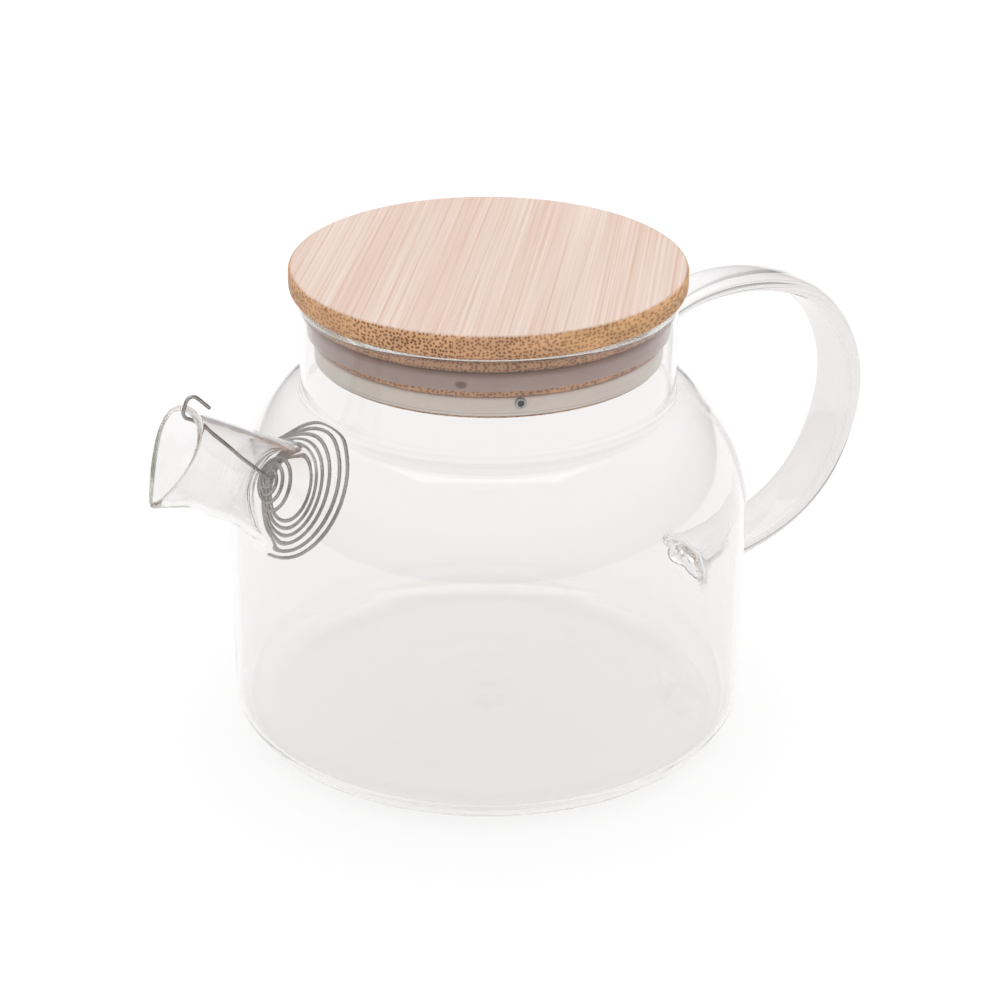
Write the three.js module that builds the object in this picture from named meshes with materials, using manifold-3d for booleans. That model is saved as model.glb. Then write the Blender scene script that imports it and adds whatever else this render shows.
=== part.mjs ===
// Glass teapot with a bamboo lid and a conical spring strainer in its spout.
// Millimetres, +Z up. Origin: centre of the flat underside. Spout towards -X, handle towards +X.
import * as THREE from 'three';
import { mergeVertices } from 'three/addons/utils/BufferGeometryUtils.js';
import Module from 'manifold-3d';

const wasm = await Module();
wasm.setup();

// Driving dimensions: glass body
const BODY_RADIUS = 65;
const BODY_WALL = 1.6;
const FLOOR_THICKNESS = 2.4;
const CORNER_RADIUS = 9.5;
const WALL_TOP = 59;              // where the straight wall ends and the shoulder begins
const SHOULDER_HEIGHT = 29.8;
const SHOULDER_FULLNESS = 1.65;   // superellipse exponent
const NECK_RADIUS = 46.4;
const NECK_HEIGHT = 25.8;
const NECK_FILLET = 1.4;

// Driving dimensions: spout
const SPOUT_TILT = 26.5;          // degrees above the horizontal
const SPOUT_REACH = 23.5;         // lip centre beyond the body's wall
const LIP_HEIGHT = 91.7;          // lip centre above the table
const SPOUT_RADIUS = 11.5;
const SPOUT_WALL = 1.4;
const SPOUT_NARROWING = 1.8;      // radius lost along the top of the tube by the time it meets the body
const LIP_FLARE = 0.6;
const LIP_FLARE_LENGTH = 6;
const BEAK_DROP = 0.9;            // extra radius under the beak
const BEAK_PINCH = 0.7;           // how much narrower the beak is than a round lip
const BEAK_LENGTH = 13;           // how far back from the lip the pinch fades out
const BEAK_WAIST = 1.2;           // radius lost under the tube just behind the beak
const BEAK_WAIST_BACK = 9;
const BEAK_WAIST_LENGTH = 4;
const WELD_FLARE = 4;             // extra radius below the tube where it joins the body
const WELD_FLARE_LENGTH = 14;

// Driving dimensions: handle
const HANDLE_THICKNESS = 5;
const HANDLE_WIDTH = 16;
const HANDLE_TOP_THICKNESS = 4;   // the strap is drawn thinner at its upper weld
const HANDLE_TOP_WIDTH = 12.5;
const HANDLE_REACH = 50.4;        // centre of the strap beyond the body's wall
const HANDLE_RISE = 100.6;        // highest point of the strap's centre
const HANDLE_FOOT = 23;           // height of the lower weld
const WELD_PAD = 1.4;             // how much the strap swells all round at its welds
const WELD_PAD_LENGTH = 4;

// Driving dimensions: lid and its seals
const LID_OVERHANG = 3.1;         // beyond the outside of the neck
const LID_THICKNESS = 6.5;
const LID_TOP_ROUND = 1.3;
const LID_UNDER_ROUND = 2.2;
const GRAIN_ANGLE = 48;           // degrees from +X
const STAVE_WIDTH = 24.8;
const STAVE_OFFSET = -1.5;        // middle glue line from the lid's centre
const PLUG_CLEARANCE = 2.4;       // between the plug and the inside of the neck
const PLUG_LENGTH = 16;
const PLUG_CHAMFER = 0.5;
const SEAL_GROOVE_DEPTH = 1.3;
const UPPER_SEAL_TOP = 5;         // below the underside of the disc
const UPPER_SEAL_HEIGHT = 4.1;
const UPPER_SEAL_ROUND = 0.9;
const LOWER_SEAL_TOP = 11.1;
const LOWER_SEAL_HEIGHT = 4.6;
const LOWER_SEAL_ROUND = 0.5;
const LOWER_SEAL_CLEARANCE = 1.8; // the lower seal is slacker in the neck than the upper one
const PIN_RADIUS = 1.4;
const PIN_LENGTH = 6;
const PIN_PROUD = 0.7;
const PIN_ANGLE = 246;            // degrees from +X
const PIN_RAISE = 1.1;            // above the middle of the lower seal

// Driving dimensions: strainer
const WIRE_RADIUS = 0.45;
const COIL_RADIUS = 16.9;
const COIL_TIP_RADIUS = 1.3;
const COIL_TIP_BACK = 28;         // the innermost turn, behind the lip
const COIL_TURNS = 9.25;
const COIL_RISE = 0.22;           // below 1, the turns in the hole soon reach the innermost one's depth
const COIL_SAMPLES = 44;          // points in one turn
const COIL_EASING = 250;          // smoothing steps of its run along the wall
const TAIL_RISE = 1.2;            // where the tail clears the innermost turn, above the spout's axis
const TAIL_LIFT = 2;              // and towards the lip

// Clearances
const GAP = 0.3;                  // between pieces that touch
const LATHE_SIDES = 48;
const SHOULDER_STEPS = 9;

const mouthHeight = WALL_TOP + SHOULDER_HEIGHT + NECK_HEIGHT;
const neckInside = NECK_RADIUS - BODY_WALL;
const lidUnderside = mouthHeight + GAP;
const lidRadius = NECK_RADIUS + LID_OVERHANG;
const plugRadius = neckInside - PLUG_CLEARANCE;
const lowerSealRadius = neckInside - LOWER_SEAL_CLEARANCE;
const radians = THREE.MathUtils.degToRad;

// Mesh helpers -------------------------------------------------------------

function toSolid(geometry) {
  const bare = geometry.index ? geometry.toNonIndexed() : geometry.clone();
  for (const name of ['normal', 'uv']) bare.deleteAttribute(name);
  const merged = mergeVertices(bare, 1e-4);
  const index = merged.index.array;
  const triangles = [];
  for (let i = 0; i < index.length; i += 3) {
    const [a, b, c] = index.subarray(i, i + 3);
    if (a !== b && b !== c && c !== a) triangles.push(a, b, c);
  }
  return new wasm.Manifold(new wasm.Mesh({
    numProp: 3,
    vertProperties: new Float32Array(merged.attributes.position.array),
    triVerts: new Uint32Array(triangles),
  }));
}

function toGeometry(solid) {
  const mesh = solid.getMesh();
  const geometry = new THREE.BufferGeometry();
  geometry.setAttribute('position', new THREE.BufferAttribute(mesh.vertProperties, 3));
  geometry.setIndex(new THREE.BufferAttribute(mesh.triVerts, 1));
  geometry.computeVertexNormals();
  return geometry;
}

function lathe(points, sides = LATHE_SIDES) {
  return new THREE.LatheGeometry(points, sides).rotateX(Math.PI / 2);
}

function arc(cx, cz, radius, from, to, steps) {
  return Array.from({ length: steps + 1 }, (_, i) => {
    const a = radians(from + (to - from) * i / steps);
    return new THREE.Vector2(cx + radius * Math.cos(a), cz + radius * Math.sin(a));
  });
}

// A bar of unit length along Z whose every vertex is moved to place(x, y, t).
function reshapedBar(shape, steps, place) {
  const bar = new THREE.ExtrudeGeometry(shape, { depth: 1, steps, bevelEnabled: false, curveSegments: 1 });
  const position = bar.attributes.position;
  const vertex = new THREE.Vector3();
  for (let i = 0; i < position.count; i += 1) {
    vertex.fromBufferAttribute(position, i);
    vertex.copy(place(vertex.x, vertex.y, vertex.z));
    position.setXYZ(i, vertex.x, vertex.y, vertex.z);
  }
  return bar;
}

function ovalShape(halfX, halfY, sides, squareness = 2) {
  const power = (value) => Math.sign(value) * Math.abs(value) ** (2 / squareness);
  const points = Array.from({ length: sides }, (_, i) => {
    const a = 2 * Math.PI * (i + 0.5) / sides;
    return new THREE.Vector2(halfX * power(Math.cos(a)), halfY * power(Math.sin(a)));
  });
  return new THREE.Shape(points);
}

// Glass body ---------------------------------------------------------------

// The pot's outline from the edge of its base up to its neck, moved inwards by inset.
function bodyOutline(inset, base, filletSteps = 2) {
  const radius = BODY_RADIUS - inset;
  const corner = CORNER_RADIUS - inset;
  const shoulderRadius = NECK_RADIUS + NECK_FILLET;
  const shoulderTop = WALL_TOP + SHOULDER_HEIGHT;
  const filletCentre = shoulderTop + NECK_FILLET;
  const shoulder = Array.from({ length: SHOULDER_STEPS }, (_, i) => {
    const a = radians(90 * i / SHOULDER_STEPS);
    const across = Math.cos(a) ** (2 / SHOULDER_FULLNESS);
    const up = Math.sin(a) ** (2 / SHOULDER_FULLNESS);
    return new THREE.Vector2(
      shoulderRadius + (radius - shoulderRadius) * across,
      WALL_TOP + (SHOULDER_HEIGHT - inset) * up,
    );
  });
  const foot = arc(radius - corner, base + corner, corner, -90, 0, 4);
  const fillet = arc(shoulderRadius, filletCentre, NECK_FILLET + inset, 270, 180, filletSteps);
  return [...foot, ...shoulder, ...fillet];
}

function bodyShell() {
  const bead = BODY_WALL / 2;
  const rim = arc(NECK_RADIUS - bead, mouthHeight - bead, bead, 0, 180, 4);
  return lathe([
    new THREE.Vector2(0, 0),
    ...bodyOutline(0, 0),
    ...rim,
    ...bodyOutline(BODY_WALL, FLOOR_THICKNESS).reverse(),
    new THREE.Vector2(0, FLOOR_THICKNESS),
  ]);
}

// The whole space that the pot takes up, grown by the gap that its neighbours keep.
function bodyEnvelope() {
  return lathe([
    new THREE.Vector2(0, -GAP),
    ...bodyOutline(-GAP, -GAP),
    new THREE.Vector2(NECK_RADIUS + GAP, mouthHeight + GAP),
    new THREE.Vector2(0, mouthHeight + GAP),
  ]);
}

// Spout --------------------------------------------------------------------

const spoutTilt = radians(SPOUT_TILT);
const spoutBack = new THREE.Vector3(Math.cos(spoutTilt), 0, -Math.sin(spoutTilt));
const spoutUp = new THREE.Vector3(Math.sin(spoutTilt), 0, Math.cos(spoutTilt));
const lipCentre = new THREE.Vector3(-BODY_RADIUS - SPOUT_REACH, 0, LIP_HEIGHT);

// A point given by its distance back from the lip, its height over the spout's axis and its side.
function onSpout(back, up, side = 0) {
  return lipCentre.clone()
    .addScaledVector(spoutBack, back)
    .addScaledVector(spoutUp, up)
    .add(new THREE.Vector3(0, side, 0));
}

// Radius of the pot's outline at a height, by straight lines between the outline's points.
function radiusAt(outline, height) {
  const above = outline.findIndex((point) => point.y > height);
  if (above < 0) return outline.at(-1).x;
  const [low, high] = [outline[above - 1], outline[above]];
  return THREE.MathUtils.mapLinear(height, low.y, high.y, low.x, high.x);
}

// How far back from the lip a line along the spout meets an outline of the pot.
function wallBack(outline, up, side) {
  let [outside, inside] = [0, SPOUT_REACH + BODY_RADIUS];
  for (let i = 0; i < 30; i += 1) {
    const back = (outside + inside) / 2;
    const point = onSpout(back, up, side);
    if (Math.hypot(point.x, point.y) < radiusAt(outline, point.z)) inside = back;
    else outside = back;
  }
  return inside;
}

const spoutRoot = wallBack(bodyOutline(0, 0), 0, 0);

// The tube's surface: round, flared at the lip, pinched into a beak, and flared below at its weld.
function spoutPoint(back, angle, inset) {
  const below = (1 - Math.cos(angle)) / 2;
  const along = THREE.MathUtils.clamp(back / spoutRoot, 0, 1);
  const lip = (LIP_FLARE + BEAK_DROP * below) * Math.exp(-back / LIP_FLARE_LENGTH);
  const waist = BEAK_WAIST * below * Math.exp(-(((back - BEAK_WAIST_BACK) / BEAK_WAIST_LENGTH) ** 2));
  const weld = THREE.MathUtils.clamp(1 - (spoutRoot - back) / WELD_FLARE_LENGTH, 0, 1);
  const root = WELD_FLARE * below * weld ** 2 - SPOUT_NARROWING * (1 - below) * along ** 2;
  const radius = SPOUT_RADIUS + lip - waist + root - inset;
  const pinch = 1 - BEAK_PINCH * below * Math.max(0, 1 - back / BEAK_LENGTH) ** 1.5;
  return onSpout(back, radius * Math.cos(angle), radius * Math.sin(angle) * pinch);
}

function spoutTube(inset, from, to) {
  return reshapedBar(ovalShape(1, 1, 28), 13, (x, y, t) => {
    const angle = Math.atan2(-y, x);
    return spoutPoint(from + (to - from) * t, angle, inset);
  });
}

// Handle -------------------------------------------------------------------

function handleCurve() {
  const wall = BODY_RADIUS;
  const outermost = wall + HANDLE_REACH;
  const height = HANDLE_RISE - HANDLE_FOOT;
  const point = (x, share) => new THREE.Vector3(x, 0, HANDLE_FOOT + height * share);
  return new THREE.CatmullRomCurve3([
    point(NECK_RADIUS - BODY_WALL / 2, 0.92),
    point(NECK_RADIUS + 14, 0.995),
    point(outermost - 0.71 * HANDLE_REACH, 1),
    point(outermost - 0.33 * HANDLE_REACH, 0.92),
    point(outermost - 0.1 * HANDLE_REACH, 0.76),
    point(outermost, 0.555),
    point(outermost - 0.06 * HANDLE_REACH, 0.35),
    point(outermost - 0.22 * HANDLE_REACH, 0.18),
    point(outermost - 0.5 * HANDLE_REACH, 0.066),
    point(wall - BODY_WALL / 2, 0),
  ]);
}

function handleStrap() {
  const curve = handleCurve();
  const length = curve.getLength();
  const place = (x, y, t) => {
    const toWeld = length * Math.min(t, 1 - t);
    const swell = WELD_PAD * Math.exp(-toWeld / WELD_PAD_LENGTH);
    const fullness = THREE.MathUtils.smoothstep(t, 0, 0.4);
    const thickness = THREE.MathUtils.lerp(HANDLE_TOP_THICKNESS, HANDLE_THICKNESS, fullness);
    const width = THREE.MathUtils.lerp(HANDLE_TOP_WIDTH, HANDLE_WIDTH, fullness);
    const centre = curve.getPointAt(t);
    const along = curve.getTangentAt(t);
    const across = new THREE.Vector3(along.z, 0, -along.x);
    return centre
      .addScaledVector(across, x * (thickness / 2 + swell))
      .add(new THREE.Vector3(0, y * (width / 2 + swell / 2), 0));
  };
  return reshapedBar(ovalShape(1, 1, 16, 3), 30, place);
}

// Lid ----------------------------------------------------------------------

function lidDisc() {
  const under = lidUnderside;
  const top = under + LID_THICKNESS;
  return lathe([
    new THREE.Vector2(0, under),
    ...arc(lidRadius - LID_UNDER_ROUND, under + LID_UNDER_ROUND, LID_UNDER_ROUND, -90, 0, 4),
    ...arc(lidRadius - LID_TOP_ROUND, top - LID_TOP_ROUND, LID_TOP_ROUND, 0, 90, 4),
    new THREE.Vector2(0, top),
  ]);
}

// The disc is cut into the staves that it is glued up from.
function lidStaves() {
  const disc = toSolid(lidDisc());
  const grain = radians(GRAIN_ANGLE);
  const reach = 2 * lidRadius;
  const across = new THREE.Vector3(Math.sin(grain), -Math.cos(grain), 0);
  const lines = [-reach, STAVE_OFFSET - STAVE_WIDTH, STAVE_OFFSET, STAVE_OFFSET + STAVE_WIDTH, reach];
  return lines.slice(1).map((high, i) => {
    const low = lines[i];
    const width = high - low - GAP;
    const middle = across.clone().multiplyScalar((low + high) / 2);
    const block = new THREE.BoxGeometry(2 * reach, width, 4 * LID_THICKNESS)
      .rotateZ(grain)
      .translate(middle.x, middle.y, lidUnderside);
    return toGeometry(disc.intersect(toSolid(block)));
  });
}

const plugTop = lidUnderside - GAP;
const plugBottom = plugTop - PLUG_LENGTH;
const grooveRadius = plugRadius - SEAL_GROOVE_DEPTH;

function sealHeights(below, height) {
  const top = lidUnderside - below;
  return { top, bottom: top - height };
}

function plugBlank() {
  const upper = sealHeights(UPPER_SEAL_TOP, UPPER_SEAL_HEIGHT);
  const lower = sealHeights(LOWER_SEAL_TOP, LOWER_SEAL_HEIGHT);
  const profile = [[0, plugBottom], [plugRadius - PLUG_CHAMFER, plugBottom]];
  for (const seal of [lower, upper]) {
    profile.push([plugRadius, seal.bottom - GAP], [grooveRadius, seal.bottom - GAP]);
    profile.push([grooveRadius, seal.top + GAP], [plugRadius, seal.top + GAP]);
  }
  profile.push([plugRadius, plugTop], [0, plugTop]);
  return lathe(profile.map(([x, z]) => new THREE.Vector2(x, z)));
}

// Closed ring with rounded outer edges.
function sealRing(outer, { top, bottom }, round) {
  const inner = grooveRadius + GAP;
  return lathe([
    new THREE.Vector2(inner, bottom),
    ...arc(outer - round, bottom + round, round, -90, 0, 2),
    ...arc(outer - round, top - round, round, 0, 90, 2),
    new THREE.Vector2(inner, top),
    new THREE.Vector2(inner, bottom),
  ]);
}

function pinPlace(distance, height) {
  const angle = radians(PIN_ANGLE);
  return new THREE.Vector3(distance * Math.cos(angle), distance * Math.sin(angle), height);
}

function pinBar(radius, from, to, height) {
  const middle = pinPlace((from + to) / 2, height);
  return new THREE.CylinderGeometry(radius, radius, to - from, 16)
    .rotateZ(-Math.PI / 2)
    .rotateZ(radians(PIN_ANGLE))
    .translate(middle.x, middle.y, middle.z);
}

// Strainer -----------------------------------------------------------------

// A springy spiral of wire: wide turns against the wall, then narrow ones that rise into the spout.
class StrainerCoil extends THREE.Curve {
  constructor() {
    super();
    this.wall = bodyOutline(BODY_WALL + WIRE_RADIUS + 1.5 * GAP, FLOOR_THICKNESS, 8);
    this.holeRadius = SPOUT_RADIUS - SPOUT_NARROWING - SPOUT_WALL - WIRE_RADIUS - GAP;
    this.count = Math.round(COIL_SAMPLES * COIL_TURNS);
    const stops = Array.from({ length: this.count + 1 }, (_, k) => this.stopBack(k / this.count));
    this.backs = stops;
    for (let round = 0; round < COIL_EASING; round += 1) this.backs = this.eased(this.backs, stops);
  }

  across(t) {
    const radius = THREE.MathUtils.lerp(COIL_RADIUS, COIL_TIP_RADIUS, t);
    const angle = 2 * Math.PI * COIL_TURNS * t + Math.PI;
    return { radius, up: radius * Math.cos(angle), side: radius * Math.sin(angle) };
  }

  // The wall stops the outer turns, and the inner ones rise into the spout's hole.
  stopBack(t) {
    const { radius, up, side } = this.across(t);
    const share = Math.max(0, (this.holeRadius - radius) / (this.holeRadius - COIL_TIP_RADIUS));
    return THREE.MathUtils.lerp(wallBack(this.wall, up, side), COIL_TIP_BACK, share ** COIL_RISE);
  }

  // One step towards a springy wire's smooth run, which never passes its stops.
  eased(backs, stops) {
    return backs.map((back, k) => {
      if (k === 0 || k === backs.length - 1) return back;
      return Math.max(stops[k], (backs[k - 1] + back + backs[k + 1]) / 3);
    });
  }

  getPoint(t) {
    const { up, side } = this.across(t);
    const k = Math.min(this.count - 1, Math.floor(t * this.count));
    return onSpout(THREE.MathUtils.lerp(this.backs[k], this.backs[k + 1], t * this.count - k), up, side);
  }
}

function wire(path, sides, steps) {
  const section = ovalShape(WIRE_RADIUS, WIRE_RADIUS, sides);
  return new THREE.ExtrudeGeometry(section, { extrudePath: path, steps, curveSegments: 1 });
}

// The straight tail up the spout, the bend round the lip and the free end above the tube.
function hookPath() {
  const coil = new StrainerCoil();
  const leaving = coil.getTangent(1);
  const start = coil.getPoint(1).addScaledVector(leaving, 2 * GAP);
  const rimInside = SPOUT_RADIUS + LIP_FLARE - SPOUT_WALL;
  const rimOutside = SPOUT_RADIUS + LIP_FLARE;
  const tailFoot = onSpout(COIL_TIP_BACK - TAIL_LIFT, TAIL_RISE);
  const tailHead = onSpout(5.6, rimInside - 2);
  return new THREE.CatmullRomCurve3([
    start,
    tailFoot,
    tailFoot.clone().lerp(tailHead, 0.5),
    tailHead,
    onSpout(2.2, rimInside - 1.2),
    onSpout(0.1, rimInside - 1.05),
    onSpout(-0.95, rimInside - 0.05),
    onSpout(-1.15, rimOutside + 0.1),
    onSpout(-1.25, rimOutside + 1.3),
    onSpout(-0.9, rimOutside + 2.2),
    onSpout(-0.1, rimOutside + 2.8),
    onSpout(0.9, rimOutside + 2.75),
    onSpout(5.4, rimOutside + 1.2),
  ], false, 'centripetal');
}

// Assembly -----------------------------------------------------------------

const glass = new THREE.MeshStandardMaterial({ color: 0xe6eeec, roughness: 0.03, metalness: 0 });
const bamboo = new THREE.MeshStandardMaterial({ color: 0xdfbf9b, roughness: 0.55, metalness: 0 });
const silicone = new THREE.MeshStandardMaterial({ color: 0xcfc6c0, roughness: 0.45, metalness: 0 });
const steel = new THREE.MeshStandardMaterial({ color: 0x9c9891, roughness: 0.3, metalness: 1 });

const group = new THREE.Group();

function addPiece(name, geometry, material) {
  const mesh = new THREE.Mesh(geometry, material);
  mesh.name = name;
  group.add(mesh);
}

function addGlass() {
  const envelope = toSolid(bodyEnvelope());
  const tubeEnd = spoutRoot + BODY_WALL + WELD_FLARE;
  const cutEnd = tubeEnd + WELD_FLARE;
  const bore = toSolid(spoutTube(SPOUT_WALL, -1, cutEnd));
  const shell = toSolid(bodyShell()).subtract(toSolid(spoutTube(SPOUT_WALL, SPOUT_RADIUS, cutEnd)));
  const spout = toSolid(spoutTube(0, 0, tubeEnd)).subtract(bore).subtract(envelope);
  const handle = toSolid(handleStrap()).subtract(envelope);
  addPiece('glass_body', toGeometry(shell), glass);
  addPiece('glass_spout', toGeometry(spout), glass);
  addPiece('glass_handle', toGeometry(handle), glass);
}

function addLid() {
  lidStaves().forEach((stave, i) => addPiece(`lid_stave_${i + 1}`, stave, bamboo));
  const upper = sealHeights(UPPER_SEAL_TOP, UPPER_SEAL_HEIGHT);
  const lower = sealHeights(LOWER_SEAL_TOP, LOWER_SEAL_HEIGHT);
  const pinHeight = (lower.top + lower.bottom) / 2 + PIN_RAISE;
  const pinFrom = lowerSealRadius + PIN_PROUD - PIN_LENGTH;
  const pinTo = lowerSealRadius + PIN_PROUD;
  const hole = toSolid(pinBar(PIN_RADIUS + GAP, pinFrom - GAP, pinTo + GAP, pinHeight));
  const lowerRing = toSolid(sealRing(lowerSealRadius, lower, LOWER_SEAL_ROUND)).subtract(hole);
  addPiece('lid_plug', toGeometry(toSolid(plugBlank()).subtract(hole)), bamboo);
  addPiece('upper_seal', toGeometry(toSolid(sealRing(neckInside - GAP, upper, UPPER_SEAL_ROUND))), silicone);
  addPiece('lower_seal', toGeometry(lowerRing), silicone);
  addPiece('seal_pin', pinBar(PIN_RADIUS, pinFrom, pinTo, pinHeight), steel);
}

function addStrainer() {
  addPiece('strainer_coil', wire(new StrainerCoil(), 6, 156), steel);
  addPiece('strainer_hook', wire(hookPath(), 6, 46), steel);
}

addGlass();
addLid();
addStrainer();

export default group;
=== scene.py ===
"""The finished surfaces of a glass teapot with a bamboo lid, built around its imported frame."""
from math import atan2, ceil, cos, exp, hypot, pi, radians, sin, sqrt

import bmesh
import bpy
from bpy.props import FloatProperty, FloatVectorProperty, PointerProperty
from mathutils import Matrix, Vector
from mathutils.bvhtree import BVHTree


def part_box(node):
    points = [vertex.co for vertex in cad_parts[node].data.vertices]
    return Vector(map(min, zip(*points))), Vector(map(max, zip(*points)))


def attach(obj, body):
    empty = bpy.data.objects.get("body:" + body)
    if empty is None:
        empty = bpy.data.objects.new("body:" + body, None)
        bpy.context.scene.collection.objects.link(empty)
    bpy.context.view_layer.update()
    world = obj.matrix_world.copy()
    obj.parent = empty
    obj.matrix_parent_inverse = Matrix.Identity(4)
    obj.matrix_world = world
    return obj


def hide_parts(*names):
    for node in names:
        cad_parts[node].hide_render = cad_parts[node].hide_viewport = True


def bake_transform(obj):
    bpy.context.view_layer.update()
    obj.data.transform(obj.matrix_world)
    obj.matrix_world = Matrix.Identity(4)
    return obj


bl_info = {
    "name": "Glass Teapot",
    "version": (1, 0, 0),
    "blender": (4, 5, 0),
    "location": "View3D > Sidebar > Teapot",
    "description": "Builds a glass teapot with a bamboo lid, a strainer coil and a soft white stage",
    "category": "Add Mesh",
}

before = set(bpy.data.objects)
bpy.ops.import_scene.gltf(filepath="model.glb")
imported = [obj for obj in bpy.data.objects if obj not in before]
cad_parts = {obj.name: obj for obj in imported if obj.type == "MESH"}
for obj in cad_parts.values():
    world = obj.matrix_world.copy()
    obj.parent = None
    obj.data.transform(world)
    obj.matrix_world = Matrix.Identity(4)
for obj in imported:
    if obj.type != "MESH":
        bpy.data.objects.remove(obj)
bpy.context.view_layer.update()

MM = 0.001
X_AXIS, Y_AXIS, Z_AXIS = Vector((1, 0, 0)), Vector((0, 1, 0)), Vector((0, 0, 1))
ORIGIN = Vector((0, 0, 0))

BODY_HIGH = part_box("glass_body")[1]
DISC_LOW, DISC_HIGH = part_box("lid_stave_2")
PLUG_LOW, PLUG_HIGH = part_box("lid_plug")
UPPER_LOW, UPPER_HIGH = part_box("upper_seal")
LOWER_LOW, LOWER_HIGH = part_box("lower_seal")
PIN_LOW, PIN_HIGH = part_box("seal_pin")


# Sizes and colours ----------------------------------------------------------

def length(name, description, default):
    """A size in metres."""
    return FloatProperty(name=name, description=description, default=default, min=0, precision=5,
                         unit="LENGTH")


def heading(name, description, default):
    """An angle, in radians."""
    return FloatProperty(name=name, description=description, default=default, subtype="ANGLE")


def colour(name, description, default):
    """A linear colour."""
    return FloatVectorProperty(name=name, description=description, default=default, min=0, max=1,
                               subtype="COLOR")


class TeapotGlassSizes(bpy.types.PropertyGroup):
    """Sizes of the blown glass."""
    body_radius: length("Body radius", "Outer radius of the straight wall", BODY_HIGH.y)
    mouth_height: length("Mouth height", "Height of the neck's rim", BODY_HIGH.z)
    body_wall: length("Body wall", "Thickness of the glass", 1.6 * MM)
    floor_thickness: length("Base thickness", "Thickness of the glass under the tea", 2.4 * MM)
    corner_radius: length("Base corner", "Radius where the wall turns into the base", 9.5 * MM)
    wall_top: length("Wall top", "Height where the shoulder starts", 59 * MM)
    shoulder_height: length("Shoulder height", "Rise from the wall to the foot of the neck", 29.8 * MM)
    neck_radius: length("Neck radius", "Outer radius of the neck", 46.4 * MM)
    neck_fillet: length("Neck fillet", "Radius where the shoulder turns into the neck", 1.4 * MM)
    spout_reach: length("Spout reach", "From the wall to the middle of the lip", 23.5 * MM)
    lip_height: length("Lip height", "Height of the middle of the lip", 91.7 * MM)
    spout_radius: length("Spout radius", "Outer radius of the spout's tube", 11.5 * MM)
    handle_reach: length("Handle reach", "From the wall to the far side of the handle", 50.4 * MM)
    handle_rise: length("Handle rise", "Height of the handle's top run", 100.6 * MM)
    handle_foot: length("Handle foot", "Height of the lower weld", 23 * MM)
    handle_width: length("Handle width", "Width of the strap at its lower end", 16 * MM)
    handle_thickness: length("Handle thickness", "Thickness of the strap at its lower end", 5 * MM)


class TeapotLidSizes(bpy.types.PropertyGroup):
    """Sizes of the lid, its seals and its pin."""
    top_round: length("Top edge", "Radius of the disc's upper edge", 1.3 * MM)
    under_round: length("Under edge", "Radius of the disc's lower edge", 2.2 * MM)
    stave_width: length("Stave width", "Width of a bamboo stave", 24.8 * MM)
    stave_offset: FloatProperty(name="Stave offset", description="Place of the middle seam across the disc",
                                default=-1.5 * MM, precision=5, unit="LENGTH")
    seal_depth: length("Seal depth", "How far the seals reach into the plug", 1.1 * MM)
    grain_angle: heading("Grain angle", "Direction of the grain, from the handle", radians(48))
    pin_angle: heading("Pin angle", "Where the pin sits round the lower seal", radians(246))
    dimple_angle: heading("Dimple angle", "Where the dimple lies round the upper seal", radians(228))
    dimple_height: length("Dimple height", "Height of the upper seal's dimple", 107.7 * MM)


class TeapotWireSizes(bpy.types.PropertyGroup):
    """Sizes of the strainer's wire."""
    wire_radius: length("Wire radius", "Radius of the steel wire", 0.45 * MM)
    coil_radius: length("Coil radius", "Radius of the outer turn", 16.9 * MM)
    tip_radius: length("Tip radius", "Radius of the innermost turn", 1.3 * MM)
    tip_back: length("Tip depth", "How far behind the lip the coil's tip lies", 28 * MM)
    turns: FloatProperty(name="Turns", description="Number of turns of the coil", default=9.25, min=1)


class TeapotColours(bpy.types.PropertyGroup):
    """Colours of the finishes."""
    glass_clear: colour("Glass", "Light that one wall lets through", (0.935, 0.927, 0.925))
    # The handle's glass colour is painted shade: a greyer tone that stands for the darker surroundings that
    # the strap reflects.
    glass_strap_shade: colour("Handle glass", "Light that the handle's strap lets through", (0.80, 0.778, 0.772))
    glass_tint: colour("Thick glass", "Tint of light that runs far inside the glass", (0.79, 0.82, 0.76))
    bamboo_face: colour("Bamboo face", "Planed face of the staves", (0.72, 0.575, 0.50))
    bamboo_streak: colour("Bamboo streak", "Lines in the planed face", (0.60, 0.37, 0.27))
    bamboo_pale: colour("Bamboo pale lines", "Palest lines in the planed face", (0.93, 0.78, 0.68))
    bamboo_end: colour("Bamboo end", "End grain between the fibres", (0.72, 0.41, 0.215))
    bamboo_fibre: colour("Bamboo fibre", "Fibre bundles in the end grain", (0.17, 0.06, 0.025))
    upper_seal: colour("Upper seal", "Silicone of the upper seal", (0.54, 0.39, 0.35))
    # The dimple's colour is painted shade: a dark brown spot that stands for the shadow in the upper seal's
    # dimple.
    dimple: colour("Dimple", "Brown spot in the upper seal's dimple", (0.20, 0.11, 0.08))
    lower_seal: colour("Lower seal", "Silicone of the lower seal", (0.92, 0.81, 0.73))
    steel: colour("Wire", "Steel of the wire", (0.40, 0.38, 0.36))
    polish: colour("Pin", "Polished head of the pin", (0.46, 0.45, 0.44))
    # The bore's colour is painted shade: near-black steel that stands for the shadow in the pin's recess,
    # not tarnish.
    bore: colour("Pin bore", "Tarnished bore of the pin", (0.03, 0.028, 0.026))
    floor: colour("Floor", "Studio floor", (0.27, 0.266, 0.266))


# Shared shape tools -----------------------------------------------------------

def finish_piece(name, mesh, material, nodes, body=None):
    """Makes the mesh a smooth piece of the object, in the place of the CAD nodes that it stands for."""
    piece = bpy.data.objects.new(name, mesh)
    bpy.context.scene.collection.objects.link(piece)
    mesh.materials.append(material)
    mesh.shade_smooth()
    if body:
        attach(piece, body)
    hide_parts(*nodes)
    return piece


def mesh_from(bm, name):
    """Turns a bmesh into a mesh, and frees it."""
    mesh = bpy.data.meshes.new(name)
    bm.to_mesh(mesh)
    bm.free()
    return mesh


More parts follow.
